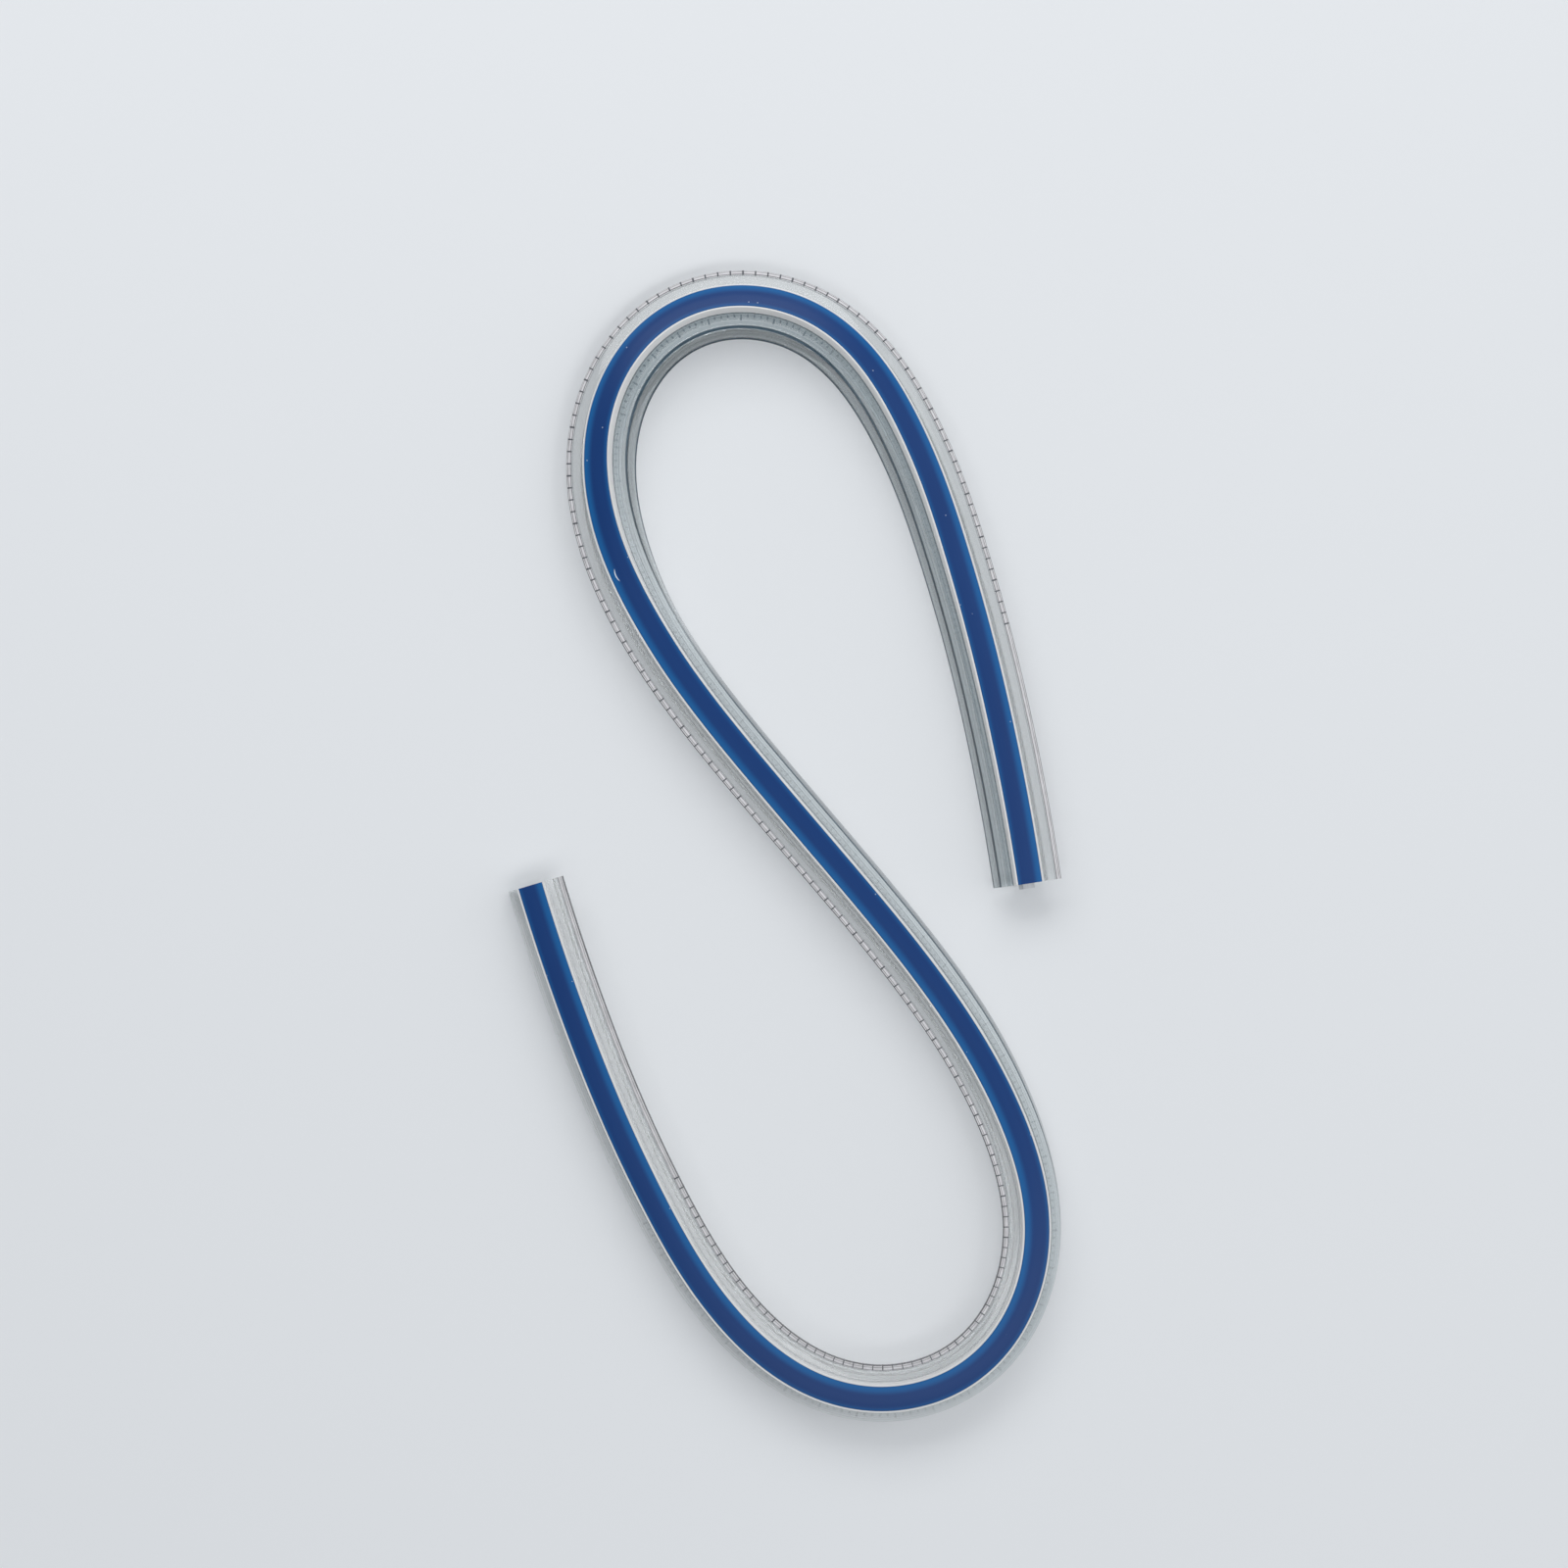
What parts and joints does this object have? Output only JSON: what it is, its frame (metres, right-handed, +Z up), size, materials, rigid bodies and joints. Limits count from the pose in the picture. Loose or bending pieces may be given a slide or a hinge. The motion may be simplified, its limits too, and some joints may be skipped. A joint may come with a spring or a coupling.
{
  "type": "flexible curve ruler",
  "caption": "Flexible curve ruler bent into an S: a blue ridge between a clear ink edge and a clear pencil edge, with a soft lead core that holds any curve.",
  "frame": {"origin": "middle of the bent ruler's outer box, at the surface that it lies on", "axes": "+Z up from the surface that it lies on, +Y along the S from its lower loop to its upper loop, +X across the S towards the end with the grey core stub"},
  "size_m": [0.0786, 0.1638, 0.0067],
  "materials": {
    "clear_pvc": "clear flexible PVC, smooth, faintly grey-green",
    "white_pvc": "opaque white PVC, satin",
    "blue_pvc": "opaque dark blue PVC, satin, fine lines along it",
    "lead": "soft dull lead",
    "spring_steel": "thin bright spring-steel strip"
  },
  "bodies": {
    "link_01": {"clear_sleeve_01": "clear_pvc", "white_channel_01": "white_pvc", "blue_strip_01": "blue_pvc", "lead_core_01": "lead", "left_spring_01": "spring_steel", "right_spring_01": "spring_steel"},
    "link_02": {"clear_sleeve_02": "clear_pvc", "white_channel_02": "white_pvc", "blue_strip_02": "blue_pvc", "lead_core_02": "lead", "left_spring_02": "spring_steel", "right_spring_02": "spring_steel"},
    "link_03": {"clear_sleeve_03": "clear_pvc", "white_channel_03": "white_pvc", "blue_strip_03": "blue_pvc", "lead_core_03": "lead", "left_spring_03": "spring_steel", "right_spring_03": "spring_steel"},
    "link_04": {"clear_sleeve_04": "clear_pvc", "white_channel_04": "white_pvc", "blue_strip_04": "blue_pvc", "lead_core_04": "lead", "left_spring_04": "spring_steel", "right_spring_04": "spring_steel"},
    "link_05": {"clear_sleeve_05": "clear_pvc", "white_channel_05": "white_pvc", "blue_strip_05": "blue_pvc", "lead_core_05": "lead", "left_spring_05": "spring_steel", "right_spring_05": "spring_steel"},
    "link_06": {"clear_sleeve_06": "clear_pvc", "white_channel_06": "white_pvc", "blue_strip_06": "blue_pvc", "lead_core_06": "lead", "left_spring_06": "spring_steel", "right_spring_06": "spring_steel"},
    "link_07": {"clear_sleeve_07": "clear_pvc", "white_channel_07": "white_pvc", "blue_strip_07": "blue_pvc", "lead_core_07": "lead", "left_spring_07": "spring_steel", "right_spring_07": "spring_steel"},
    "link_08": {"clear_sleeve_08": "clear_pvc", "white_channel_08": "white_pvc", "blue_strip_08": "blue_pvc", "lead_core_08": "lead", "left_spring_08": "spring_steel", "right_spring_08": "spring_steel"},
    "link_09": {"clear_sleeve_09": "clear_pvc", "white_channel_09": "white_pvc", "blue_strip_09": "blue_pvc", "lead_core_09": "lead", "left_spring_09": "spring_steel", "right_spring_09": "spring_steel"},
    "link_10": {"clear_sleeve_10": "clear_pvc", "white_channel_10": "white_pvc", "blue_strip_10": "blue_pvc", "lead_core_10": "lead", "left_spring_10": "spring_steel", "right_spring_10": "spring_steel"}
  },
  "joints": [
    {"name": "bend_01", "type": "hinge", "parent": "link_02", "child": "link_01", "pos_m": [0.0264, 0.03269, 0], "axis": [0, 0, 1], "range_deg": [-6, 45]},
    {"name": "bend_02", "type": "hinge", "parent": "link_03", "child": "link_02", "pos_m": [0.01132, 0.0681, 0], "axis": [0, 0, 1], "range_deg": [-2, 45]},
    {"name": "bend_03", "type": "hinge", "parent": "link_04", "child": "link_03", "pos_m": [-0.02178, 0.06863, 0], "axis": [0, 0, 1], "range_deg": [-2, 45]},
    {"name": "bend_04", "type": "hinge", "parent": "link_05", "child": "link_04", "pos_m": [-0.01944, 0.03193, 0], "axis": [0, 0, 1], "range_deg": [-2, 45]},
    {"name": "bend_05", "type": "hinge", "parent": "link_05", "child": "link_06", "pos_m": [0.00412, 0.00124, 0], "axis": [0, 0, 1], "range_deg": [-12, 12]},
    {"name": "bend_06", "type": "hinge", "parent": "link_06", "child": "link_07", "pos_m": [0.02757, -0.02953, 0], "axis": [0, 0, 1], "range_deg": [-3, 45]},
    {"name": "bend_07", "type": "hinge", "parent": "link_07", "child": "link_08", "pos_m": [0.03262, -0.06635, 0], "axis": [0, 0, 1], "range_deg": [-2, 45]},
    {"name": "bend_08", "type": "hinge", "parent": "link_08", "child": "link_09", "pos_m": [-0.00062, -0.07321, 0], "axis": [0, 0, 1], "range_deg": [-3, 45]},
    {"name": "bend_09", "type": "hinge", "parent": "link_09", "child": "link_10", "pos_m": [-0.02242, -0.04171, 0], "axis": [0, 0, 1], "range_deg": [-6, 45]}
  ]
}
